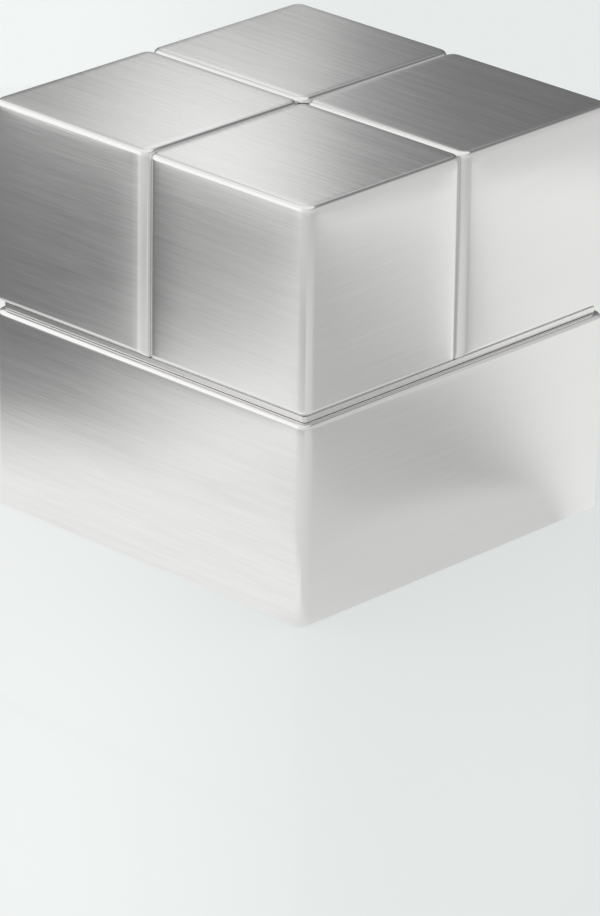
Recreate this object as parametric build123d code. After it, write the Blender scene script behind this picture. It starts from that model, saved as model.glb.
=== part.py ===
"""Magnetic mirror block cube: a square metal slab with four small metal blocks on its turning top.

Frame: +Z up, origin under the middle of the cube on the surface it stands on. The faces look along
X and Y. Front is -Y and left is -X. All sizes are in millimetres.

Each block is a shell, closed by a plate from below, round a moulded carrier that holds its magnets.
The slab is a larger shell built the same way. A disc let into its top turns on a hub and an axle
screw and carries a thin square deck. The four blocks stand on that deck, so they turn as one layer
and lift off one by one.
"""
from build123d import *
import os

# ---------------------------------------------------------------- driving dimensions
# blocks and slab
block_width = 24.95          # outer width of one small block, both ways
block_height = 24.9          # underside to top of a small block
block_gap = 0.1              # between neighbouring blocks
slab_height = 24.25          # height of the slab's shell
layer_gap = 0.05             # between the slab's top and the deck above it
upright_radius = 1.4         # rounding of the upright outer edges
top_rim = 0.6                # rounding round the top of the slab and of each block
slab_foot_rim = 0.3          # rounding round the slab's underside
layer_foot_rim = 1.35        # rounding round the underside of the four blocks together
shell_wall = 2.2             # side walls of every shell
block_roof = 2.2             # top wall of a block's shell
cavity_corner = 1.2          # rounding of the upright corners inside the shells
insert_gap = 0.05            # round each part that slides into a shell

# block inner parts
block_plate_thickness = 1.2
carrier_wall = 3.2
carrier_floor = 3.0
base_magnet_radius = 3.0
base_magnet_thickness = 2.0
side_magnet_radius = 4.0
side_magnet_thickness = 2.0
glue_gap = 0.04              # round each magnet in its pocket

# turning disc, deck, hub and axle
deck_thickness = 0.7         # square plate on the disc, under the blocks
deck_inset = 0.9             # from the blocks' outer faces to the deck's edge
disc_land = 2.15             # flat ring of slab between its rounded edge and the recess
disc_side_gap = 0.25         # round the disc in its recess
disc_thickness = 2.0
disc_floor_gap = 0.1         # under the disc
seat_magnet_radius = 3.0
seat_magnet_thickness = 1.5
hub_radius = 3.0
hub_flange_radius = 5.0
hub_flange_thickness = 1.2
hub_running_gap = 0.05       # hub in its bushing
bearing_gap = 0.02           # end play between the turning and the still faces
bushing_wall = 1.2
bushing_flange_width = 2.2
bushing_flange_thickness = 1.0
bushing_below_roof = 0.6
thread_radius = 1.5
thread_gap = 0.01
thread_depth = 4.0           # axle screw into the hub
washer_radius = 4.0
washer_thickness = 0.5
washer_bore_gap = 0.1
spring_height = 5.0
spring_wire_radius = 0.35
spring_bore_gap = 0.3        # between the axle screw and the spring's coils
spring_turns = 5.0
axle_head_radius = 3.2
axle_head_height = 2.0
hub_end_gap = 0.2            # between the hub's end and the washer

# slab inner parts and underside
roof_under_recess = 3.0
index_magnet_radius = 3.0
index_magnet_thickness = 1.5
base_carrier_floor = 1.2     # under the index magnets
base_carrier_wall = 2.0
axle_opening_radius = 7.0    # hole in the base carrier round the axle
corner_boss = 6.6            # side of each square screw boss
boss_fillet = 2.0
boss_root = 0.5              # how far each boss runs into the walls beside it
boss_clearance = 0.3
cover_thickness = 2.0
cover_screw_inset = 3.7      # from the cavity's wall to the screw's axis
cover_screw_radius = 1.25
cover_screw_length = 8.0
cover_screw_head_radius = 2.5
cover_screw_head_height = 1.4
socket_size = 1.5            # across the flats of the cover screws
axle_socket_size = 2.5       # across the flats of the axle screw
socket_depth = 0.9
pad_width = 30.0
pad_corner = 3.0
pad_thickness = 1.2
foot_proud = 0.1             # the pad below the slab

# ---------------------------------------------------------------- sizes that follow
block_centre = (block_width + block_gap) / 2
slab_width = 2 * block_width + block_gap
slab_top = foot_proud + slab_height
deck_bottom = slab_top + layer_gap
deck_top = deck_bottom + deck_thickness
deck_width = slab_width - 2 * deck_inset
deck_corner = upright_radius - deck_inset
block_floor = deck_top
block_top = block_floor + block_height

block_cavity = block_width - 2 * shell_wall
block_cavity_top = block_top - block_roof
block_plate_top = block_floor + block_plate_thickness
block_insert = block_cavity - 2 * insert_gap
insert_corner = cavity_corner - insert_gap
side_magnet_height = (block_floor + block_top) / 2

recess_radius = slab_width / 2 - top_rim - disc_land
disc_radius = recess_radius - disc_side_gap
disc_top = deck_bottom
disc_bottom = disc_top - disc_thickness
recess_floor = disc_bottom - disc_floor_gap
roof_bottom = recess_floor - roof_under_recess

bushing_bore = hub_radius + hub_running_gap
bushing_radius = bushing_bore + bushing_wall
bushing_flange_radius = bushing_radius + bushing_flange_width
bushing_top = disc_bottom - bearing_gap
bushing_shoulder = bushing_top - bushing_flange_thickness
bushing_bottom = roof_bottom - bushing_below_roof
washer_top = bushing_bottom - bearing_gap
washer_bottom = washer_top - washer_thickness
hub_end = washer_top + hub_end_gap
axle_head_top = washer_bottom - spring_height
axle_head_bottom = axle_head_top - axle_head_height
thread_bore = thread_radius + thread_gap
spring_radius = thread_radius + spring_bore_gap + spring_wire_radius

cover_bottom = foot_proud
cover_top = cover_bottom + cover_thickness
base_cavity = slab_width - 2 * shell_wall
base_insert = base_cavity - 2 * insert_gap
base_carrier_bottom = roof_bottom - index_magnet_thickness - base_carrier_floor
cover_screw_place = base_cavity / 2 - cover_screw_inset
pad_recess_top = pad_thickness

# left/right and front/back of each block, as signs along X and Y
BLOCKS = {
    "front_left": (-1, -1),
    "front_right": (1, -1),
    "back_right": (1, 1),
    "back_left": (-1, 1),
}


# ---------------------------------------------------------------- shared shapes
def rod(radius, bottom, top, x=0.0, y=0.0):
    """An upright cylinder between two heights."""
    solid = Cylinder(radius, top - bottom, align=(Align.CENTER, Align.CENTER, Align.MIN))
    return Pos(x, y, bottom) * solid


def square(width, bottom, top, corner=0.0, x=0.0, y=0.0):
    """An upright square block between two heights, with its upright corners rounded."""
    solid = Box(width, width, top - bottom, align=(Align.CENTER, Align.CENTER, Align.MIN))
    if corner > 0:
        solid = fillet(solid.edges().filter_by(Axis.Z), corner)
    return Pos(x, y, bottom) * solid


def rounded_block(width, bottom, top):
    """A square block with rounded upright edges and a smaller rounding round its top."""
    solid = square(width, bottom, top, upright_radius)
    return fillet(solid.edges().group_by(Axis.Z)[-1], top_rim)


def round_foot(solid, radius):
    """Rounds the edges round a solid's underside."""
    return fillet(solid.edges().group_by(Axis.Z)[0], radius)


def hexagon(across_flats, bottom, top, x=0.0, y=0.0):
    """An upright hexagonal prism between two heights."""
    prism = extrude(RegularPolygon(across_flats / 2, 6, major_radius=False), top - bottom)
    return Pos(x, y, bottom) * prism


def four_places(offset):
    """The same place in each of the four quarters."""
    return [(sx * offset, sy * offset) for sx, sy in BLOCKS.values()]


def at_four_places(make, offset):
    """One separate solid in each of the four quarters."""
    return Compound(children=[make(x, y) for x, y in four_places(offset)])


def save(node, shape):
    export_step(shape, os.path.join("parts", node + ".step"))


# ---------------------------------------------------------------- slab
def base_shell():
    shell = round_foot(rounded_block(slab_width, foot_proud, slab_top), slab_foot_rim)
    shell -= square(base_cavity, foot_proud, roof_bottom, cavity_corner)
    boss_place = (base_cavity - corner_boss + boss_root) / 2
    for x, y in four_places(boss_place):
        shell += square(corner_boss + boss_root, cover_top, roof_bottom, boss_fillet, x, y)
    shell -= rod(recess_radius, recess_floor, slab_top)
    shell -= rod(bushing_flange_radius, bushing_shoulder, recess_floor)
    shell -= rod(bushing_radius, roof_bottom, bushing_shoulder)
    pilot_top = cover_bottom + cover_screw_length + boss_clearance
    for x, y in four_places(cover_screw_place):
        shell -= rod(cover_screw_radius + thread_gap, cover_top, pilot_top, x, y)
    return shell


def base_carrier():
    carrier = square(base_insert, cover_top, roof_bottom, insert_corner)
    carrier -= square(base_insert - 2 * base_carrier_wall, cover_top, base_carrier_bottom, cavity_corner)
    notch = corner_boss + boss_clearance
    for x, y in four_places((base_cavity - notch) / 2):
        carrier -= square(notch, cover_top, roof_bottom, 0.0, x, y)
    carrier -= rod(axle_opening_radius, base_carrier_bottom, roof_bottom)
    pocket_radius = index_magnet_radius + glue_gap
    pocket_bottom = roof_bottom - index_magnet_thickness
    for x, y in four_places(block_centre):
        carrier -= rod(pocket_radius, pocket_bottom, roof_bottom, x, y)
    return carrier


def index_magnets():
    def disc(x, y):
        return rod(index_magnet_radius, roof_bottom - index_magnet_thickness, roof_bottom, x, y)
    return at_four_places(disc, block_centre)


def axle_bushing():
    bushing = rod(bushing_flange_radius, bushing_shoulder, bushing_top)
    bushing += rod(bushing_radius, bushing_bottom, bushing_shoulder)
    return bushing - rod(bushing_bore, bushing_bottom, bushing_top)


def countersunk(x, y, gap):
    """A countersunk head, flush with the cover, grown by a gap all round."""
    cone = Cone(cover_screw_head_radius + gap, cover_screw_radius + gap, cover_screw_head_height,
                align=(Align.CENTER, Align.CENTER, Align.MIN))
    return Pos(x, y, cover_bottom) * cone


def base_cover():
    cover = square(base_insert, cover_bottom, cover_top, insert_corner)
    cover -= square(pad_width + 2 * insert_gap, cover_bottom, pad_recess_top, pad_corner + insert_gap)
    for x, y in four_places(cover_screw_place):
        cover -= countersunk(x, y, insert_gap)
        cover -= rod(cover_screw_radius + insert_gap, cover_bottom, cover_top, x, y)
    return cover


def cover_screws():
    def screw(x, y):
        body = countersunk(x, y, 0.0)
        body += rod(cover_screw_radius, cover_bottom, cover_bottom + cover_screw_length, x, y)
        return body - hexagon(socket_size, cover_bottom, cover_bottom + socket_depth, x, y)
    return at_four_places(screw, cover_screw_place)


def foot_pad():
    return square(pad_width, 0.0, pad_thickness, pad_corner)


# ---------------------------------------------------------------- turntable
def turntable_disc():
    disc = rod(disc_radius, disc_bottom, disc_top)
    disc -= rod(hub_flange_radius, deck_top - hub_flange_thickness, disc_top)
    disc -= rod(hub_radius, disc_bottom, disc_top)
    for x, y in four_places(block_centre):
        disc -= rod(seat_magnet_radius + glue_gap, deck_top - seat_magnet_thickness, disc_top, x, y)
    return disc


def turntable_deck():
    deck = square(deck_width, deck_bottom, deck_top, deck_corner)
    deck -= rod(hub_flange_radius, deck_bottom, deck_top)
    for x, y in four_places(block_centre):
        deck -= rod(seat_magnet_radius + glue_gap, deck_bottom, deck_top, x, y)
    return deck


def seat_magnets():
    def disc(x, y):
        return rod(seat_magnet_radius, deck_top - seat_magnet_thickness, deck_top, x, y)
    return at_four_places(disc, block_centre)


def turntable_hub():
    hub = rod(hub_flange_radius, deck_top - hub_flange_thickness, deck_top)
    hub += rod(hub_radius, hub_end, deck_top - hub_flange_thickness)
    return hub - rod(thread_bore, hub_end, hub_end + thread_depth)


def axle_washer():
    washer = rod(washer_radius, washer_bottom, washer_top)
    return washer - rod(thread_radius + washer_bore_gap, washer_bottom, washer_top)


def axle_spring():
    rise = spring_height - 2 * spring_wire_radius
    coil = Helix(pitch=rise / spring_turns, height=rise, radius=spring_radius)
    wire = Plane(origin=coil @ 0, z_dir=coil % 0) * Circle(spring_wire_radius)
    return Pos(0, 0, axle_head_top + spring_wire_radius) * sweep(wire, path=coil, is_frenet=True)


def axle_screw():
    screw = rod(axle_head_radius, axle_head_bottom, axle_head_top)
    screw += rod(thread_radius, axle_head_top, hub_end + thread_depth)
    return screw - hexagon(axle_socket_size, axle_head_bottom, axle_head_bottom + socket_depth)


# ---------------------------------------------------------------- blocks
def block_shell(sx, sy):
    x, y = sx * block_centre, sy * block_centre
    shell = Pos(x, y, 0) * rounded_block(block_width, block_floor, block_top)
    shell &= round_foot(square(slab_width, block_floor, block_top, upright_radius), layer_foot_rim)
    return shell - square(block_cavity, block_floor, block_cavity_top, cavity_corner, x, y)


def block_plate(sx, sy):
    return square(block_insert, block_floor, block_plate_top, insert_corner,
                  sx * block_centre, sy * block_centre)


def block_base_magnet(sx, sy, gap=0.0):
    return rod(base_magnet_radius + gap, block_plate_top, block_plate_top + base_magnet_thickness,
               sx * block_centre, sy * block_centre)


def side_magnet(sx, sy, along_x, gap=0.0):
    """The disc magnet behind the face that looks at the neighbour along X or along Y."""
    face = block_centre - block_insert / 2
    disc = Cylinder(side_magnet_radius + gap, side_magnet_thickness,
                    align=(Align.CENTER, Align.CENTER, Align.MIN))
    if along_x:
        place = Pos(sx * face, sy * block_centre, side_magnet_height) * Rot(0, 90 * sx, 0)
    else:
        place = Pos(sx * block_centre, sy * face, side_magnet_height) * Rot(-90 * sy, 0, 0)
    return place * disc


def block_side_magnets(sx, sy):
    return Compound(children=[side_magnet(sx, sy, True), side_magnet(sx, sy, False)])


def block_carrier(sx, sy):
    x, y = sx * block_centre, sy * block_centre
    carrier = square(block_insert, block_plate_top, block_cavity_top, insert_corner, x, y)
    carrier -= square(block_insert - 2 * carrier_wall, block_plate_top + carrier_floor, block_cavity_top,
                      cavity_corner, x, y)
    carrier -= block_base_magnet(sx, sy, glue_gap)
    carrier -= side_magnet(sx, sy, True, glue_gap)
    return carrier - side_magnet(sx, sy, False, glue_gap)


# ---------------------------------------------------------------- every node
def main():
    os.makedirs("parts", exist_ok=True)
    for make in (base_shell, base_carrier, index_magnets, axle_bushing, base_cover, cover_screws, foot_pad,
                 turntable_disc, turntable_deck, turntable_hub, seat_magnets, axle_washer, axle_spring, axle_screw):
        save(make.__name__, make())
    for name, (sx, sy) in BLOCKS.items():
        save(name + "_shell", block_shell(sx, sy))
        save(name + "_carrier", block_carrier(sx, sy))
        save(name + "_base_magnet", block_base_magnet(sx, sy))
        save(name + "_side_magnets", block_side_magnets(sx, sy))
        save(name + "_plate", block_plate(sx, sy))


main()
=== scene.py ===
"""Magnetic mirror block cube: brushed metal shells, inner parts and a pale studio round the fixed frame.

The cube is a square slab with a turning disc let into its top. Four small blocks stand on the disc.
Every piece is in metres, +Z up, with the cube standing on the floor at Z = 0.
"""

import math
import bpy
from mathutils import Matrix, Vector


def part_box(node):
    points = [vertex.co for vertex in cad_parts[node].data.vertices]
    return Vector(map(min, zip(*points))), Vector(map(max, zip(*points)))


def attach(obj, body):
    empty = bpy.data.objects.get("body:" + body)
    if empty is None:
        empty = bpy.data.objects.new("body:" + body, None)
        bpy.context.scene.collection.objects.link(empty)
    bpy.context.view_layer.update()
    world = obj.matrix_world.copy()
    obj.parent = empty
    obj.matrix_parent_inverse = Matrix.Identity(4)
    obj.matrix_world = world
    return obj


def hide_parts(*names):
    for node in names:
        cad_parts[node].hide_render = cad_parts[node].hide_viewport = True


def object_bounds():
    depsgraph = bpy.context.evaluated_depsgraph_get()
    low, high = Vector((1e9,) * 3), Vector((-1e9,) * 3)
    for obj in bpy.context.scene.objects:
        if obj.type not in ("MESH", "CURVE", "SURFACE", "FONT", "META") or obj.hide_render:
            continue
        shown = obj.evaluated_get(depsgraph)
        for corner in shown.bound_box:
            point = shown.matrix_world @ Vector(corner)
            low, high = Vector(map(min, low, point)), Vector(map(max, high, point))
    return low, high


bl_info = {
    "name": "Mirror Block Cube",
    "version": (1, 0, 0),
    "blender": (4, 5, 0),
    "location": "View3D > Sidebar > Block Cube",
    "description": "Builds the finish and the studio of a magnetic mirror block cube",
    "category": "Object",
}

import bmesh
import bpy
from bpy.props import FloatProperty, FloatVectorProperty, IntProperty, PointerProperty
from mathutils import Quaternion, Vector

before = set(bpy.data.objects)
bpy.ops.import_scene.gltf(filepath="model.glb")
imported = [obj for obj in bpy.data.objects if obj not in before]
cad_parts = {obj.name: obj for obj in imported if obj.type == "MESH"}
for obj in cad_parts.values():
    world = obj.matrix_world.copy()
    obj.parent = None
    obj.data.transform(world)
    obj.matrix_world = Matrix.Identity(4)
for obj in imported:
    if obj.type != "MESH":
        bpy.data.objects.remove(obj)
CAD_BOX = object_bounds()

MM = 0.001
BLOCKS = ("front_left", "front_right", "back_right", "back_left")
BRUSH_MAP = "brush"
POLISH = "polish"
GRAIN = "grain"

TOUCHING = 1e-6           # two heights or lengths this close are the same
MERGE = 0.03 * MM         # points this close at a corner become one
OUTSIDE = 0.05 * MM       # a face this close to the cube's side is an outside face
SLACK = 0.01 * MM         # room for rounding when the underside's faces are picked
UPRIGHT_SHARE = 0.9       # an edge with this share of the cavity's height is one of its corners
CAVITY_SEGMENTS = 5
POLISH_TURN = 0.12        # how far a normal turns from its axis until the edge is fully polished
GRAIN_LEFT_RIGHT = 0.8    # how much less the left and right faces show the brush lines
GRAIN_FRONT_BACK = 0.3    # the same for the front and back faces
MAP_STEP = 0.137          # moves the brush lines on from one shell to the next
AXIS_STEP = 0.31          # and from one direction of face to the next

FLOOR_HALF = 60.0         # half the floor's side, in widths of the cube
DRUM_RADIUS = 3.0
DRUM_HEIGHT = 6.0
FLOOR_REACH = 4.0         # distance that the floor's wide ramps cover
NEAR_REACH = 2.0          # distance that its ramps beside the cube cover
POOL_REACH = 8.0          # width of the light pool painted into its glow
DIAGONAL = 1.414
SENSOR_WIDTH = 36.0


# ---------------------------------------------------------------- settings
class BlockCubeShape(bpy.types.PropertyGroup):
    upright_radius: FloatProperty(name="Upright radius", description="Rounding of the upright outer edges",
                                  default=1.4 * MM, unit="LENGTH")
    top_rim: FloatProperty(name="Top rim", description="Rounding round the top of the slab and the blocks",
                           default=0.6 * MM, unit="LENGTH")
    slab_foot_rim: FloatProperty(name="Slab foot rim", description="Rounding round the slab's underside",
                                 default=0.3 * MM, unit="LENGTH")
    seam_foot_rim: FloatProperty(name="Seam foot rim", description="Eased edge under each block at its neighbours",
                                 default=0.12 * MM, unit="LENGTH")
    layer_foot_rim: FloatProperty(name="Layer foot rim", description="Rounding under the four blocks together",
                                  default=1.35 * MM, unit="LENGTH")
    wall: FloatProperty(name="Wall", description="Thickness of a shell's side walls",
                        default=2.2 * MM, unit="LENGTH")
    cavity_corner: FloatProperty(name="Cavity corner", description="Rounding of the corners inside a shell",
                                 default=1.2 * MM, unit="LENGTH")
    edge_segments: IntProperty(name="Edge segments", description="Steps round each edge", default=8)
    face_step: FloatProperty(name="Face step", description="Mesh step across a face",
                             default=0.9 * MM, unit="LENGTH")
    roll_off: FloatProperty(name="Roll-off", description="How far from an edge brushing has drawn a face in",
                            default=6.0 * MM, unit="LENGTH")
    roll_depth: FloatProperty(name="Roll-off depth", description="How far a face is drawn in at its edge",
                              default=0.10 * MM, unit="LENGTH")


class BlockCubeFinish(bpy.types.PropertyGroup):
    metal: FloatVectorProperty(name="Metal", description="Colour of the brushed metal", subtype="COLOR",
                               size=3, default=(0.80, 0.795, 0.79))
    roughness: FloatProperty(name="Face roughness", description="Roughness of the brushed faces", default=0.19)
    edge_roughness: FloatProperty(name="Edge roughness", description="Roughness of the rounded edges",
                                  default=0.11)
    anisotropy: FloatProperty(name="Anisotropy", description="How much the brushing stretches reflections",
                              default=0.5)
    disc_steel: FloatVectorProperty(name="Disc steel", description="Colour of the turned disc", subtype="COLOR",
                                    size=3, default=(0.66, 0.65, 0.64))
    brass: FloatVectorProperty(name="Brass", description="Colour of the hub", subtype="COLOR", size=3,
                               default=(0.72, 0.58, 0.30))
    bronze: FloatVectorProperty(name="Bronze", description="Colour of the bushing", subtype="COLOR", size=3,
                                default=(0.60, 0.45, 0.25))
    nickel: FloatVectorProperty(name="Nickel", description="Colour of the magnets", subtype="COLOR", size=3,
                                default=(0.74, 0.73, 0.70))
    zinc: FloatVectorProperty(name="Zinc", description="Colour of the screws, washer and spring",
                              subtype="COLOR", size=3, default=(0.55, 0.55, 0.56))
    carrier: FloatVectorProperty(name="Carrier", description="Colour of the moulded carriers", subtype="COLOR",
                                 size=3, default=(0.16, 0.16, 0.17))
    plate: FloatVectorProperty(name="Plate", description="Colour of the plates and the cover",
                               subtype="COLOR", size=3, default=(0.06, 0.06, 0.065))
    rubber: FloatVectorProperty(name="Rubber", description="Colour of the foot pad", subtype="COLOR", size=3,
                                default=(0.05, 0.05, 0.05))
    line_depth: FloatProperty(name="Line depth", description="Depth of the brush lines", default=0.012 * MM,
                              unit="LENGTH", precision=6)


class BlockCubeStage(bpy.types.PropertyGroup):
    azimuth: FloatProperty(name="Azimuth", description="Camera direction round the cube, from the front",
                           default=math.radians(43.83), subtype="ANGLE")
    elevation: FloatProperty(name="Elevation", description="Camera direction above the floor",
                             default=math.radians(21.5), subtype="ANGLE")
    roll: FloatProperty(name="Roll", description="Camera roll", default=math.radians(0.82), subtype="ANGLE")
    distance: FloatProperty(name="Distance", description="Camera distance in cube widths", default=14.063)
    lens: FloatProperty(name="Lens", description="Focal length", default=240.4, unit="CAMERA")
    shift: FloatProperty(name="Shift", description="Upright lens shift", default=-0.1674)
    floor: FloatVectorProperty(name="Floor", description="Colour of the floor", subtype="COLOR",
                               size=3, default=(0.84, 0.875, 0.865))


# ---------------------------------------------------------------- meshes
def new_piece(name, bm, smooth=True):
    """Turns a finished bmesh into an object at the origin."""
    for face in bm.faces:
        face.smooth = smooth
    mesh = bpy.data.meshes.new(name)
    bm.to_mesh(mesh)
    bm.free()
    piece = bpy.data.objects.new(name, mesh)
    bpy.context.scene.collection.objects.link(piece)
    return piece


def round_off(bm, edges, radius, segments):
    bmesh.ops.bevel(bm, geom=edges, offset=radius, offset_type="OFFSET", segments=segments, profile=0.5,
                    affect="EDGES", material=-1)


def edges_at(bm, height):
    """The edges that lie level at a height."""
    return [edge for edge in bm.edges if all(abs(vert.co.z - height) < TOUCHING for vert in edge.verts)]


def square_up(bm, height, thickness):
    """Insets a flat face with rounded corners until its corners are sharp, so that it can become a grid."""
    face = [face for face in bm.faces if all(abs(vert.co.z - height) < TOUCHING for vert in face.verts)]
    bmesh.ops.inset_region(bm, faces=face, thickness=thickness, use_even_offset=True)
    bmesh.ops.remove_doubles(bm, verts=face[0].verts[:], dist=MERGE)


def block_mesh(low, high, upright, top_rim, foot_rim, segments):
    """A closed block between two corners, with rounded upright edges and smaller rims."""
    bm = bmesh.new()
    bmesh.ops.create_cube(bm, size=1.0)
    bmesh.ops.scale(bm, vec=high - low, verts=bm.verts[:])
    bmesh.ops.translate(bm, vec=(low + high) / 2, verts=bm.verts[:])
    standing = [edge for edge in bm.edges if abs(edge.verts[0].co.z - edge.verts[1].co.z) > TOUCHING]
    round_off(bm, standing, upright, segments)
    round_off(bm, edges_at(bm, high.z), top_rim, segments - 2)
    round_off(bm, edges_at(bm, low.z), foot_rim, segments - 2)
    square_up(bm, high.z, upright - top_rim)
    square_up(bm, low.z, upright - foot_rim)
    return bm


def divide_faces(bm, step, shortest):
    """Cuts the long edges, so that each flat face becomes an even grid."""
    lengths = sorted({round(edge.calc_length(), 6) for edge in bm.edges if edge.calc_length() > shortest})
    for length in lengths:
        edges = [edge for edge in bm.edges if abs(edge.calc_length() - length) < TOUCHING]
        bmesh.ops.subdivide_edges(bm, edges=edges, cuts=round(length / step) - 1, use_grid_fill=True)


def draw_in_edges(bm, low, high, radii, reach, depth):
    """Draws each outside face in towards its edges, as brushing does. Faces that meet a neighbour stay flat."""
    middle, half = (low + high) / 2, (high - low) / 2
    for vert in bm.verts:
        away = vert.co - middle
        fall = []
        for axis in range(3):
            inside = max(0.0, half[axis] - radii[axis] - abs(away[axis]))
            fall.append(max(0.0, 1 - inside / reach) ** 3)
        for axis in range(3):
            side = high if away[axis] > 0 else low
            limit = CAD_BOX[1] if away[axis] > 0 else CAD_BOX[0]
            if abs(side[axis] - limit[axis]) > OUTSIDE:
                continue
            others = [fall[other] for other in range(3) if other != axis]
            drawn = 1 - (1 - others[0]) * (1 - others[1])
            vert.co[axis] -= away[axis] / half[axis] * depth * drawn


def round_layer_foot(bm, low, radius, upright, steps):
    """Rounds the underside of a block only where it is on the outside of the four, and not at a seam."""
    for step in range(steps):
        height = radius * (1 - math.sin(math.pi / 2 * step / steps))
        bmesh.ops.bisect_plane(bm, geom=bm.verts[:] + bm.edges[:] + bm.faces[:], dist=1e-7,
                               plane_co=(0, 0, low.z + height), plane_no=(0, 0, 1))
    corner = CAD_BOX[1].x - upright
    for vert in bm.verts:
        left = radius - (vert.co.z - low.z)
        over = Vector((max(0.0, abs(vert.co.x) - corner), max(0.0, abs(vert.co.y) - corner)))
        if left <= 0 or over.length == 0:
            continue
        inset = radius - math.sqrt(max(0.0, radius ** 2 - left ** 2))
        keep = min(1.0, (upright - inset) / over.length)
        for axis in range(2):
            if over[axis] > 0:
                vert.co[axis] = math.copysign(corner + over[axis] * keep, vert.co[axis])


def hollow_out(bm, low, high, wall, upright, ceiling, corner):
    """Opens the underside and makes the cavity above it."""
    level, reach = low.z + SLACK, (high.x - low.x) / 2 - upright + SLACK
    middle = (low + high) / 2
    flat = [face for face in bm.faces if all(
        vert.co.z < level and max(abs(vert.co.x - middle.x), abs(vert.co.y - middle.y)) < reach
        for vert in face.verts)]
    under = bmesh.ops.dissolve_faces(bm, faces=flat)["region"]
    bmesh.ops.inset_region(bm, faces=under, thickness=wall - upright, use_even_offset=True)
    top = bmesh.ops.extrude_face_region(bm, geom=under)["geom"]
    raised = [item for item in top if isinstance(item, bmesh.types.BMVert)]
    bmesh.ops.delete(bm, geom=under, context="FACES_ONLY")
    for vert in raised:
        vert.co.z = ceiling
    bm.normal_update()
    inner = []
    for edge in bm.edges:
        along = edge.verts[0].co - edge.verts[1].co
        if abs(along.z) > abs(ceiling - low.z) * UPRIGHT_SHARE and abs(along.x) + abs(along.y) < 1e-5:
            if len(edge.link_faces) == 2 and edge.calc_face_angle(0.0) > 1.0:
                inner.append(edge)
    round_off(bm, inner, corner, CAVITY_SEGMENTS)


def map_brushing(bm, shift):
    """Lays the brush map: U runs along the lines, in metres, and V across them."""
    layer = bm.loops.layers.uv.new(BRUSH_MAP)
    for face in bm.faces:
        normal = face.normal
        strongest = max(range(3), key=lambda axis: abs(normal[axis]))
        along = 1 if strongest == 0 else 0
        across = 1 if strongest == 2 else 2
        for loop in face.loops:
            co = loop.vert.co
            loop[layer].uv = (co[along] + shift, co[across] + shift * 1.7 + strongest * AXIS_STEP)


def mark_edges(bm):
    """Marks how far each point is round an edge, from 0 on a flat face to 1 in the middle of the rounding.

    A second mark says how strongly the brush lines show: fully on top, lightly on the left and right.
    """
    layer = bm.verts.layers.float.new(POLISH)
    grain = bm.verts.layers.float.new(GRAIN)
    for vert in bm.verts:
        strongest = max(abs(part) for part in vert.normal)
        vert[layer] = min(1.0, (1 - strongest) / POLISH_TURN)
        vert[grain] = 1 - GRAIN_LEFT_RIGHT * abs(vert.normal.x) - GRAIN_FRONT_BACK * abs(vert.normal.y)


def metal_shell(name, node, foot_rim, shift):
    """A brushed shell in the place of its CAD node: rounded outside and open underneath."""
    shape = bpy.context.scene.block_cube_shape
    low, high = (Vector(corner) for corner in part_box(node))
    upright = shape.upright_radius
    bm = block_mesh(low, high, upright, shape.top_rim, foot_rim, shape.edge_segments)
    divide_faces(bm, shape.face_step, 4 * upright)
    draw_in_edges(bm, low, high, (upright, upright, shape.top_rim), shape.roll_off, shape.roll_depth)
    if node != "base_shell":
        round_layer_foot(bm, low, shape.layer_foot_rim, upright, shape.edge_segments)
    bm.normal_update()
    mark_edges(bm)
    hollow_out(bm, low, high, shape.wall, upright, high.z - shape.wall, shape.cavity_corner)
    bmesh.ops.recalc_face_normals(bm, faces=bm.faces[:])
    map_brushing(bm, shift)
    return new_piece(name, bm)


# ---------------------------------------------------------------- material helpers
class Nodes:
    """Short calls for adding and linking nodes in one tree."""

    def __init__(self, tree):
        self.tree = tree

    def add(self, kind, values=(), **settings):
        node = self.tree.nodes.new(kind)
        for key, value in settings.items():
            setattr(node, key, value)
        for key, value in dict(values).items():
            self.feed(node, key, value)
        return node

    def feed(self, node, key, value):
        """Sets an input to a value, or links it to another node's output."""
        socket = node.inputs[key]
        if isinstance(value, bpy.types.NodeSocket):
            self.tree.links.new(value, socket)
        else:
            socket.default_value = value

    def math(self, operation, first, second=0.0, clamp=False):
        node = self.add("ShaderNodeMath", {0: first, 1: second}, operation=operation, use_clamp=clamp)
        return node.outputs[0]

    def ramp(self, factor, stops, interpolation="LINEAR"):
        """A ramp from (place, grey or colour) stops."""
        node = self.add("ShaderNodeValToRGB", {"Fac": factor})
        node.color_ramp.interpolation = interpolation
        elements = node.color_ramp.elements
        while len(elements) < len(stops):
            elements.new(0.5)
        for element, (place, tone) in zip(elements, stops):
            element.position = place
            colour = tone if isinstance(tone, (tuple, list)) else (tone, tone, tone)
            element.color = (*colour[:3], 1.0)
        return node.outputs["Color"]

    def mix(self, factor, first, second, blend="MIX"):
        node = self.add("ShaderNodeMix", {0: factor, 6: first, 7: second}, data_type="RGBA", blend_type=blend)
        return node.outputs[2]


def rgba(colour):
    return (*colour[:3], 1.0)


def new_group(name, inputs, outputs):
    """An empty node group with named sockets. Returns its tree helper and its input and output nodes."""
    tree = bpy.data.node_groups.new(name, "ShaderNodeTree")
    for socket, kind, value in inputs:
        made = tree.interface.new_socket(name=socket, in_out="INPUT", socket_type="NodeSocket" + kind)
        if value is not None:
            made.default_value = value
    for socket, kind in outputs:
        tree.interface.new_socket(name=socket, in_out="OUTPUT", socket_type="NodeSocket" + kind)
    nodes = Nodes(tree)
    return nodes, nodes.add("NodeGroupInput").outputs, nodes.add("NodeGroupOutput")


def shared_group(name, build):
    """The named group, built the first time that it is asked for."""
    return bpy.data.node_groups.get(name) or build(name)


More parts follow.
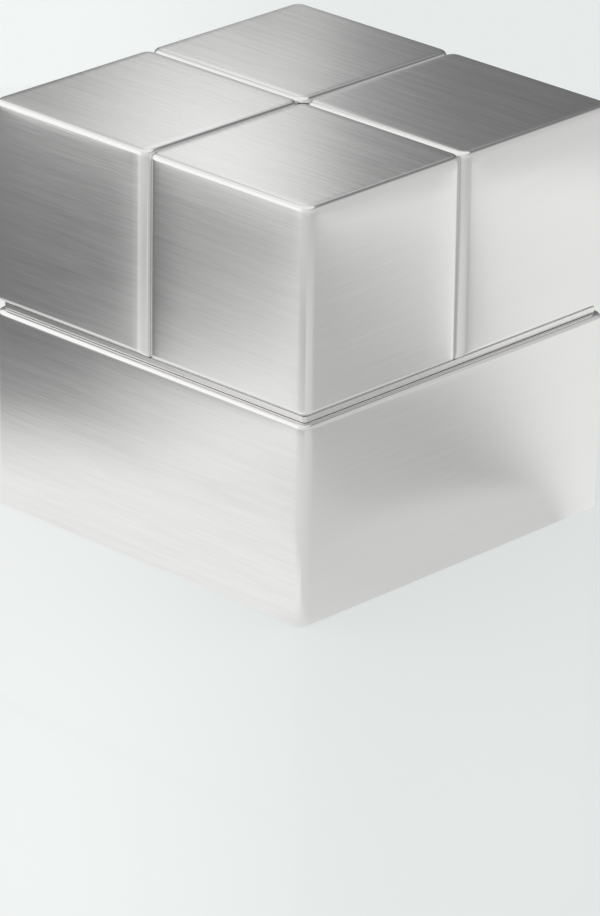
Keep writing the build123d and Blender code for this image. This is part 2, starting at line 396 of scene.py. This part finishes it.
def new_material(name):
    """A material with a bare Principled shader. Returns the material, its helper and the shader."""
    material = bpy.data.materials.new(name)
    material.use_nodes = True
    nodes = Nodes(material.node_tree)
    return material, nodes, material.node_tree.nodes["Principled BSDF"]


def build_brush_lines(name):
    """Fine straight scratches along U of the given map: long thin noise at three scales."""
    nodes, given, result = new_group(
        name, [("Vector", "Vector", None), ("Line Width", "Float", 0.0002), ("Line Length", "Float", 0.006)],
        [("Height", "Float"), ("Tone", "Float"), ("Patch", "Float")])
    split = nodes.add("ShaderNodeSeparateXYZ", {"Vector": given["Vector"]}).outputs
    along = nodes.math("DIVIDE", split["X"], given["Line Length"])
    across = nodes.math("DIVIDE", split["Y"], given["Line Width"])

    def streaks(stretch_along, stretch_across, offset, detail, roughness):
        place = nodes.add("ShaderNodeCombineXYZ", {
            "X": nodes.math("MULTIPLY", along, stretch_along),
            "Y": nodes.math("MULTIPLY", across, stretch_across),
            "Z": offset}).outputs[0]
        noise = nodes.add("ShaderNodeTexNoise", {"Vector": place, "Scale": 1.0, "Detail": detail,
                                                 "Roughness": roughness})
        return noise.outputs["Fac"]

    fine = streaks(1.0, 1.0, 0.0, 2.0, 0.6)
    medium = streaks(0.45, 0.32, 3.7, 2.0, 0.55)
    broad = streaks(0.16, 0.05, 7.9, 1.0, 0.5)
    height = nodes.math("ADD", nodes.math("MULTIPLY", fine, 0.6), nodes.math("MULTIPLY", medium, 0.4))
    tone = nodes.math("ADD", nodes.math("MULTIPLY", medium, 0.55), nodes.math("MULTIPLY", fine, 0.45))
    nodes.feed(result, "Height", height)
    nodes.feed(result, "Tone", tone)
    nodes.feed(result, "Patch", broad)
    return nodes.tree


def build_turned_rings(name):
    """Fine rings round the Z axis through a centre, as a lathe tool leaves them."""
    nodes, given, result = new_group(
        name, [("Vector", "Vector", None), ("Ring Width", "Float", 0.0003)],
        [("Height", "Float"), ("Tone", "Float")])
    split = nodes.add("ShaderNodeSeparateXYZ", {"Vector": given["Vector"]}).outputs
    level = nodes.add("ShaderNodeCombineXYZ", {"X": split["X"], "Y": split["Y"]}).outputs[0]
    radius = nodes.add("ShaderNodeVectorMath", {0: level}, operation="LENGTH").outputs["Value"]
    along = nodes.math("DIVIDE", nodes.math("ADD", radius, nodes.math("MULTIPLY", split["Z"], 0.7)),
                       given["Ring Width"])
    rings = nodes.add("ShaderNodeTexNoise", {"W": along, "Scale": 1.0, "Detail": 2.0}, noise_dimensions="1D")
    worn = nodes.add("ShaderNodeTexNoise", {"Vector": given["Vector"], "Scale": 220.0, "Detail": 3.0})
    tone = nodes.math("ADD", nodes.math("MULTIPLY", rings.outputs["Fac"], 0.7),
                      nodes.math("MULTIPLY", worn.outputs["Fac"], 0.3))
    nodes.feed(result, "Height", rings.outputs["Fac"])
    nodes.feed(result, "Tone", tone)
    return nodes.tree


def build_fine_grain(name):
    """An even fine grain with a slower drift over it, for mouldings, plating and rubber."""
    nodes, given, result = new_group(
        name, [("Vector", "Vector", None), ("Grain Size", "Float", 0.0004)],
        [("Height", "Float"), ("Tone", "Float")])
    place = nodes.add("ShaderNodeVectorMath", {0: given["Vector"], "Scale": nodes.math(
        "DIVIDE", 1.0, given["Grain Size"])}, operation="SCALE").outputs[0]
    grain = nodes.add("ShaderNodeTexNoise", {"Vector": place, "Scale": 1.0, "Detail": 2.0})
    drift = nodes.add("ShaderNodeTexNoise", {"Vector": place, "Scale": 0.06, "Detail": 3.0})
    tone = nodes.math("ADD", nodes.math("MULTIPLY", grain.outputs["Fac"], 0.4),
                      nodes.math("MULTIPLY", drift.outputs["Fac"], 0.6))
    nodes.feed(result, "Height", grain.outputs["Fac"])
    nodes.feed(result, "Tone", tone)
    return nodes.tree


def varied(nodes, shader, colour, tone, swing, roughness, rough_swing):
    """Feeds a colour and a roughness that both drift with a tone mask."""
    drift = nodes.math("SUBTRACT", tone, 0.5)
    bright = nodes.math("ADD", 1.0, nodes.math("MULTIPLY", drift, swing))
    tinted = nodes.add("ShaderNodeVectorMath", {0: tuple(colour[:3]), "Scale": bright}, operation="SCALE")
    nodes.feed(shader, "Base Color", tinted.outputs[0])
    rough = nodes.math("ADD", roughness, nodes.math("MULTIPLY", drift, rough_swing))
    nodes.feed(shader, "Roughness", rough)


def brushed_metal(name, colour):
    """Brushed metal: streaks in tone, roughness and height along the brush map, with polished edges."""
    finish = bpy.context.scene.block_cube_finish
    material, nodes, shader = new_material(name)
    place = nodes.add("ShaderNodeUVMap", uv_map=BRUSH_MAP).outputs[0]
    lines = nodes.add("ShaderNodeGroup", node_tree=shared_group("Brush lines", build_brush_lines))
    nodes.feed(lines, "Vector", place)
    polish = nodes.add("ShaderNodeAttribute", attribute_name=POLISH).outputs["Fac"]
    grain = nodes.add("ShaderNodeAttribute", attribute_name=GRAIN).outputs["Fac"]
    face = nodes.math("MULTIPLY", nodes.math("SUBTRACT", 1.0, polish, clamp=True), grain)

    swing = nodes.math("MULTIPLY", nodes.math("SUBTRACT", lines.outputs["Tone"], 0.5), 0.38)
    broad = nodes.math("MULTIPLY", nodes.math("SUBTRACT", lines.outputs["Patch"], 0.5), 0.10)
    bright = nodes.math("ADD", 1.0, nodes.math("MULTIPLY", nodes.math("ADD", swing, broad), face))
    tinted = nodes.add("ShaderNodeVectorMath", {0: tuple(colour[:3]), "Scale": bright}, operation="SCALE")
    nodes.feed(shader, "Base Color", tinted.outputs[0])

    rough = nodes.math("ADD", finish.roughness, nodes.math("MULTIPLY", nodes.math(
        "SUBTRACT", lines.outputs["Tone"], 0.5), 0.16))
    mixed = nodes.add("ShaderNodeMix", {0: polish, 2: rough, 3: finish.edge_roughness}, data_type="FLOAT")
    nodes.feed(shader, "Roughness", mixed.outputs[0])
    nodes.feed(shader, "Metallic", 1.0)
    nodes.feed(shader, "Anisotropic", finish.anisotropy)
    nodes.feed(shader, "Tangent", nodes.add("ShaderNodeTangent", direction_type="UV_MAP",
                                            uv_map=BRUSH_MAP).outputs[0])
    bump = nodes.add("ShaderNodeBump", {"Height": lines.outputs["Height"], "Distance": finish.line_depth,
                                        "Strength": face})
    nodes.feed(shader, "Normal", bump.outputs[0])
    return material


def milled_deck(name, colour):
    """The deck's brushed metal, with its lines along X and round its edge."""
    finish = bpy.context.scene.block_cube_finish
    material, nodes, shader = new_material(name)
    split = nodes.add("ShaderNodeSeparateXYZ", {
        "Vector": nodes.add("ShaderNodeTexCoord").outputs["Object"]}).outputs
    place = nodes.add("ShaderNodeCombineXYZ", {"X": split["X"], "Y": nodes.math("ADD", split["Y"], split["Z"])})
    lines = nodes.add("ShaderNodeGroup", {"Vector": place.outputs[0]},
                      node_tree=shared_group("Brush lines", build_brush_lines))
    varied(nodes, shader, colour, lines.outputs["Tone"], 0.3, finish.roughness + 0.04, 0.16)
    nodes.feed(shader, "Metallic", 1.0)
    bump = nodes.add("ShaderNodeBump", {"Height": lines.outputs["Height"], "Distance": finish.line_depth,
                                        "Strength": 0.8})
    nodes.feed(shader, "Normal", bump.outputs[0])
    return material


def turned_metal(name, colour, ring, roughness):
    """Metal off a lathe, with fine rings."""
    material, nodes, shader = new_material(name)
    rings = nodes.add("ShaderNodeGroup", {
        "Vector": nodes.add("ShaderNodeTexCoord").outputs["Object"], "Ring Width": ring},
        node_tree=shared_group("Turned rings", build_turned_rings))
    varied(nodes, shader, colour, rings.outputs["Tone"], 0.35, roughness, 0.2)
    nodes.feed(shader, "Metallic", 1.0)
    bump = nodes.add("ShaderNodeBump", {"Height": rings.outputs["Height"], "Distance": 0.01 * MM,
                                        "Strength": 0.6})
    nodes.feed(shader, "Normal", bump.outputs[0])
    return material


def grained(name, colour, grain, roughness, metallic=0.0, depth=0.02, swing=0.25):
    """A moulded, plated or rubbery surface with a fine even grain."""
    material, nodes, shader = new_material(name)
    fine = nodes.add("ShaderNodeGroup", {
        "Vector": nodes.add("ShaderNodeTexCoord").outputs["Object"], "Grain Size": grain},
        node_tree=shared_group("Fine grain", build_fine_grain))
    varied(nodes, shader, colour, fine.outputs["Tone"], swing, roughness, 0.15)
    nodes.feed(shader, "Metallic", metallic)
    bump = nodes.add("ShaderNodeBump", {"Height": fine.outputs["Height"], "Distance": depth * MM,
                                        "Strength": 0.5})
    nodes.feed(shader, "Normal", bump.outputs[0])
    return material


# ---------------------------------------------------------------- operators
class BLOCKCUBE_OT_shells(bpy.types.Operator):
    """Replace the slab's and the blocks' shells with brushed ones"""
    bl_idname = "block_cube.shells"
    bl_label = "Brushed shells"

    def execute(self, context):
        finish = context.scene.block_cube_finish
        metal = brushed_metal("brushed_metal", finish.metal)
        shape = context.scene.block_cube_shape
        bodies = {"base": "base"}
        bodies.update({name: name + "_block" for name in BLOCKS})
        for number, (name, body) in enumerate(bodies.items()):
            node = name + "_shell"
            rim = shape.slab_foot_rim if name == "base" else shape.seam_foot_rim
            piece = metal_shell(name + "_brushed_shell", node, rim, MAP_STEP * (number + 1))
            piece.data.materials.append(metal)
            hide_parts(node)
            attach(piece, body)
        return {"FINISHED"}


def coat(node, material):
    """Gives a node of the frame its material."""
    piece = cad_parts[node]
    piece.data.materials.clear()
    piece.data.materials.append(material)


class BLOCKCUBE_OT_turntable(bpy.types.Operator):
    """Finish the disc, the deck, the hub and its bushing"""
    bl_idname = "block_cube.turntable"
    bl_label = "Turntable"

    def execute(self, context):
        finish = context.scene.block_cube_finish
        coat("turntable_disc", turned_metal("turned_steel", finish.disc_steel, 0.35 * MM, 0.28))
        coat("turntable_deck", milled_deck("deck_metal", finish.metal))
        coat("turntable_hub", turned_metal("turned_brass", finish.brass, 0.2 * MM, 0.25))
        coat("axle_bushing", grained("sintered_bronze", finish.bronze, 0.12 * MM, 0.42, metallic=1.0))
        return {"FINISHED"}


class BLOCKCUBE_OT_magnets(bpy.types.Operator):
    """Finish every magnet in nickel plate"""
    bl_idname = "block_cube.magnets"
    bl_label = "Magnets"

    def execute(self, context):
        finish = context.scene.block_cube_finish
        nickel = grained("nickel_plate", finish.nickel, 0.5 * MM, 0.17, metallic=1.0, depth=0.003, swing=0.12)
        for node in ["index_magnets", "seat_magnets"] + [
                name + part for name in BLOCKS for part in ("_base_magnet", "_side_magnets")]:
            coat(node, nickel)
        return {"FINISHED"}


class BLOCKCUBE_OT_fixings(bpy.types.Operator):
    """Finish the screws, the washer and the spring in zinc plate"""
    bl_idname = "block_cube.fixings"
    bl_label = "Fixings"

    def execute(self, context):
        finish = context.scene.block_cube_finish
        zinc = grained("zinc_plate", finish.zinc, 0.25 * MM, 0.32, metallic=1.0, depth=0.006, swing=0.2)
        for node in ("cover_screws", "axle_screw", "axle_washer", "axle_spring"):
            coat(node, zinc)
        return {"FINISHED"}


class BLOCKCUBE_OT_mouldings(bpy.types.Operator):
    """Finish the carriers, the plates, the cover and the foot pad"""
    bl_idname = "block_cube.mouldings"
    bl_label = "Mouldings and pad"

    def execute(self, context):
        finish = context.scene.block_cube_finish
        carrier = grained("carrier_plastic", finish.carrier, 0.3 * MM, 0.55)
        plate = grained("plate_plastic", finish.plate, 0.45 * MM, 0.48, depth=0.03)
        coat("base_carrier", carrier)
        coat("base_cover", plate)
        for name in BLOCKS:
            coat(name + "_carrier", carrier)
            coat(name + "_plate", plate)
        coat("foot_pad", grained("foot_rubber", finish.rubber, 0.35 * MM, 0.82, depth=0.05, swing=0.5))
        return {"FINISHED"}


def rays(nodes, *kinds):
    """A mask that is 1 for the given kinds of ray."""
    path = nodes.add("ShaderNodeLightPath").outputs
    mask = path[kinds[0]]
    for kind in kinds[1:]:
        mask = nodes.math("MAXIMUM", mask, path[kind])
    return mask


def flat_plane(name, half):
    bm = bmesh.new()
    bmesh.ops.create_grid(bm, x_segments=1, y_segments=1, size=half)
    return new_piece(name, bm, smooth=False)


def turn(degrees):
    """A bearing round the cube as a place on a ramp: 0 and 1 at -X, 0.25 at -Y, 0.5 at +X, 0.75 at +Y."""
    return degrees / 360 + 0.5


# tones that the metal sees, by bearing in degrees from +X towards +Y
LIGHT = 1.2               # strength of the drum and of the floor in reflections
FLOOR_TONES = [(turn(place), tone / LIGHT) for place, tone in (
    (-180, 0.34), (-160, 0.27), (-135, 0.215), (-128, 0.34), (-124, 0.54), (-119, 0.76), (-114, 0.92),
    (-108, 1.0), (-100, 0.96), (-80, 0.86), (-45, 0.80), (-15, 0.74), (0, 0.70), (10, 0.60), (20, 0.57),
    (28, 0.54), (33, 0.64), (36, 0.77), (39, 0.92), (43, 1.0), (60, 0.95), (90, 0.85), (135, 0.6), (180, 0.32))]
HORIZON_TONES = [(turn(place), tone) for place, tone in (
    (-180, 0.28), (-135, 0.21), (-128, 0.34), (-120, 0.58), (-112, 0.68), (-90, 0.62), (0, 0.55), (22, 0.60),
    (32, 0.78), (45, 0.90), (62, 0.80), (90, 0.40), (180, 0.30))]
FOOT_TONES = [(turn(place), tone) for place, tone in (
    (-180, 0.30), (-135, 0.27), (-128, 0.42), (-120, 0.68), (-112, 0.75), (-90, 0.65), (0, 0.50), (22, 0.52),
    (45, 0.66), (62, 0.60), (90, 0.40), (180, 0.30))]
WALL_TONES = [(turn(place), tone) for place, tone in (
    (-180, 0.85), (-150, 1.0), (-110, 1.0), (-80, 0.75), (0, 0.60), (45, 0.56), (65, 0.45), (85, 0.20), (118, 0.15),
    (126, 0.19), (131, 0.32), (134.5, 0.80), (138, 0.96), (142, 0.86), (147, 0.50), (160, 0.40), (180, 0.85))]
UPPER_TONES = [(turn(place), tone) for place, tone in (
    (-180, 0.85), (-135, 0.85), (-60, 0.75), (0, 0.5), (40, 0.36), (60, 0.26), (90, 0.16), (108, 0.25), (118, 0.6),
    (135, 0.75), (157, 0.60), (180, 0.85))]


def round_the_cube(nodes, place, width):
    """Where a point lies round the cube: its bearing as a ramp place, then its distance and side in widths."""
    split = nodes.add("ShaderNodeSeparateXYZ", {"Vector": place}).outputs
    angle = nodes.math("ARCTAN2", split["Y"], split["X"])
    bearing = nodes.math("ADD", nodes.math("DIVIDE", angle, 2 * math.pi), 0.5)
    level = nodes.add("ShaderNodeCombineXYZ", {"X": split["X"], "Y": split["Y"]}).outputs[0]
    radius = nodes.add("ShaderNodeVectorMath", {0: level}, operation="LENGTH").outputs["Value"]
    side = nodes.math("DIVIDE", nodes.math("ADD", split["X"], split["Y"]), DIAGONAL * width)
    return bearing, nodes.math("DIVIDE", radius, width), side


class BLOCKCUBE_OT_stage(bpy.types.Operator):
    """Add the floor, the light drum, the sky and the camera"""
    bl_idname = "block_cube.stage"
    bl_label = "Studio"

    def execute(self, context):
        stage = context.scene.block_cube_stage
        low, high = CAD_BOX
        width = high.x - low.x
        self.floor(stage, width)
        self.drum(width)
        self.sky(context.scene)
        self.camera(context.scene, stage, low, high, width)
        context.scene.view_settings.view_transform = "Standard"
        context.scene.cycles.glossy_bounces = 12
        return {"FINISHED"}

    def floor(self, stage, width):
        """A pale floor. The camera sees it mostly as a painted glow with a painted light pool, lighter to the left,
        which also weakens the object's shadow. Metal sees a softer pattern on it: light near the cube and in front,
        dark to the left.
        """
        floor = flat_plane("floor", FLOOR_HALF * width)
        material, nodes, shader = new_material("floor")
        nodes.feed(shader, "Base Color", rgba(stage.floor))
        nodes.feed(shader, "Roughness", 0.05)
        nodes.feed(shader, "IOR", 1.35)
        place = nodes.add("ShaderNodeTexCoord").outputs["Object"]
        bearing, radius, side = round_the_cube(nodes, place, width)
        # the camera sees the floor mostly as a painted glow: a painted light pool, lighter to the left, which also
        # weakens the object's shadow
        pool = nodes.ramp(nodes.math("ADD", nodes.math("DIVIDE", side, POOL_REACH), 0.5),
                          [(0.0, (0.93, 0.955, 0.945)), (0.42, (0.90, 0.93, 0.92)), (0.53, (0.77, 0.81, 0.80)),
                           (1.0, (0.77, 0.81, 0.80))], "EASE")
        painted_pool_glow = nodes.add("ShaderNodeEmission", {"Color": pool, "Strength": 1.0}).outputs[0]
        seen = nodes.add("ShaderNodeMixShader", {"Fac": 0.70, 1: shader.outputs[0], 2: painted_pool_glow}).outputs[0]
        shown = nodes.add("ShaderNodeMixShader", {"Fac": rays(nodes, "Is Camera Ray"),
                                                  1: shader.outputs[0], 2: seen}).outputs[0]
        around = nodes.ramp(bearing, FLOOR_TONES)
        fade = nodes.ramp(nodes.math("DIVIDE", radius, FLOOR_REACH), [(0.38, 1.0), (0.60, 0.74)])
        left = nodes.ramp(nodes.math("ADD", nodes.math("DIVIDE", side, NEAR_REACH), 0.5),
                          [(0.45, 1.0), (0.55, 0.0)])
        around = nodes.mix(left, around, nodes.mix(1.0, around, fade, "MULTIPLY"))
        beside = nodes.math("DIVIDE", radius, NEAR_REACH)
        near = nodes.mix(left, nodes.ramp(beside, [(0.40, 0.62), (0.55, 0.3)]),
                         nodes.ramp(beside, [(0.42, 0.84), (0.47, 0.80), (0.52, 0.72), (0.60, 0.56),
                                             (0.66, 0.38), (0.75, 0.28), (0.90, 0.20)]))
        tone = nodes.mix(1.0, around, near, "LIGHTEN")
        far = nodes.ramp(nodes.math("DIVIDE", radius, FLOOR_REACH), [(0.58, 0.0), (0.75, 1.0)], "EASE")
        tone = nodes.mix(far, tone, nodes.ramp(bearing, HORIZON_TONES))
        glow = nodes.add("ShaderNodeEmission", {"Color": tone, "Strength": LIGHT}).outputs[0]
        mixed = nodes.add("ShaderNodeMixShader", {"Fac": rays(nodes, "Is Glossy Ray"), 1: shown, 2: glow})
        nodes.feed(material.node_tree.nodes["Material Output"], "Surface", mixed.outputs[0])
        floor.data.materials.append(material)

    def drum(self, width):
        """The walls of the studio, seen only in reflections."""
        bm = bmesh.new()
        bmesh.ops.create_cone(bm, cap_ends=False, segments=128, radius1=DRUM_RADIUS * width,
                              radius2=DRUM_RADIUS * width, depth=DRUM_HEIGHT * width)
        bmesh.ops.translate(bm, vec=(0, 0, DRUM_HEIGHT / 2 * width), verts=bm.verts[:])
        drum = new_piece("light_drum", bm)
        material, nodes, shader = new_material("light_drum")
        nodes.tree.nodes.remove(shader)
        place = nodes.add("ShaderNodeTexCoord").outputs["Object"]
        bearing = round_the_cube(nodes, place, width)[0]
        height = nodes.math("DIVIDE", nodes.add("ShaderNodeSeparateXYZ", {"Vector": place}).outputs["Z"], width)
        share = nodes.math("DIVIDE", height, DRUM_HEIGHT)
        tone = nodes.ramp(bearing, WALL_TONES)
        rise = nodes.ramp(share, [(0.42, 0.0), (0.56, 1.0)])
        tone = nodes.mix(rise, tone, nodes.ramp(bearing, UPPER_TONES))
        low_back = nodes.ramp(share, [(0.30, 0.40), (0.317, 0.52), (0.325, 0.68), (0.333, 0.88), (0.345, 1.0)])
        behind = nodes.ramp(bearing, [(turn(131), 0.0), (turn(136), 1.0)])
        tone = nodes.mix(behind, tone, nodes.mix(1.0, tone, low_back, "MULTIPLY"))
        foot = nodes.ramp(height, [(0.25, 1.0), (0.6, 0.0)], "EASE")
        tone = nodes.mix(foot, tone, nodes.ramp(bearing, FOOT_TONES))
        open_top = nodes.ramp(share, [(0.80, 0.0), (1.0, 1.0)])
        tone = nodes.mix(open_top, tone, (1.0, 1.0, 1.0, 1.0))
        glow = nodes.add("ShaderNodeEmission", {"Color": tone, "Strength": LIGHT}).outputs[0]
        clear = nodes.add("ShaderNodeBsdfTransparent").outputs[0]
        mixed = nodes.add("ShaderNodeMixShader", {"Fac": rays(nodes, "Is Glossy Ray"), 1: clear, 2: glow})
        nodes.feed(material.node_tree.nodes["Material Output"], "Surface", mixed.outputs[0])
        drum.data.materials.append(material)

    def sky(self, scene):
        world = bpy.data.worlds.new("studio")
        scene.world = world
        world.use_nodes = True
        nodes = Nodes(world.node_tree)
        sky = world.node_tree.nodes["Background"]
        nodes.feed(sky, "Color", (1.0, 1.0, 1.0, 1.0))
        nodes.feed(sky, "Strength", 1.0)

    def camera(self, scene, stage, low, high, width):
        data = bpy.data.cameras.new("camera")
        camera = bpy.data.objects.new("camera", data)
        scene.collection.objects.link(camera)
        scene.camera = camera
        back = Vector((math.sin(stage.azimuth) * math.cos(stage.elevation),
                       -math.cos(stage.azimuth) * math.cos(stage.elevation), math.sin(stage.elevation)))
        camera.rotation_mode = "QUATERNION"
        camera.location = (low + high) / 2 + back * stage.distance * width
        aim = (-back).to_track_quat("-Z", "Y")
        camera.rotation_quaternion = aim @ Quaternion((0, 0, 1), stage.roll)
        data.lens = stage.lens
        data.sensor_width = SENSOR_WIDTH
        data.shift_y = stage.shift
        data.clip_start = 0.01
        data.clip_end = 100.0


class BLOCKCUBE_PT_panel(bpy.types.Panel):
    """The build steps of the block cube, with their settings"""
    bl_idname = "BLOCKCUBE_PT_panel"
    bl_label = "Block Cube"
    bl_space_type = "VIEW_3D"
    bl_region_type = "UI"
    bl_category = "Block Cube"

    def draw(self, context):
        for step in STEPS:
            self.layout.operator(step.bl_idname)
        for name, group in SETTINGS.items():
            box = self.layout.box()
            for setting in group.__annotations__:
                box.prop(getattr(context.scene, name), setting)


STEPS = (BLOCKCUBE_OT_shells, BLOCKCUBE_OT_turntable, BLOCKCUBE_OT_magnets, BLOCKCUBE_OT_fixings,
         BLOCKCUBE_OT_mouldings, BLOCKCUBE_OT_stage)
SETTINGS = {"block_cube_shape": BlockCubeShape, "block_cube_finish": BlockCubeFinish,
            "block_cube_stage": BlockCubeStage}
CLASSES = (*SETTINGS.values(), *STEPS, BLOCKCUBE_PT_panel)


def register():
    for made in CLASSES:
        bpy.utils.register_class(made)
    for name, group in SETTINGS.items():
        setattr(bpy.types.Scene, name, PointerProperty(type=group))


def unregister():
    for name in SETTINGS:
        delattr(bpy.types.Scene, name)
    for made in reversed(CLASSES):
        bpy.utils.unregister_class(made)


def main():
    register()
    for step in STEPS:
        getattr(bpy.ops.block_cube, step.bl_idname.split(".")[1])()


if __name__ == "__main__":
    main()
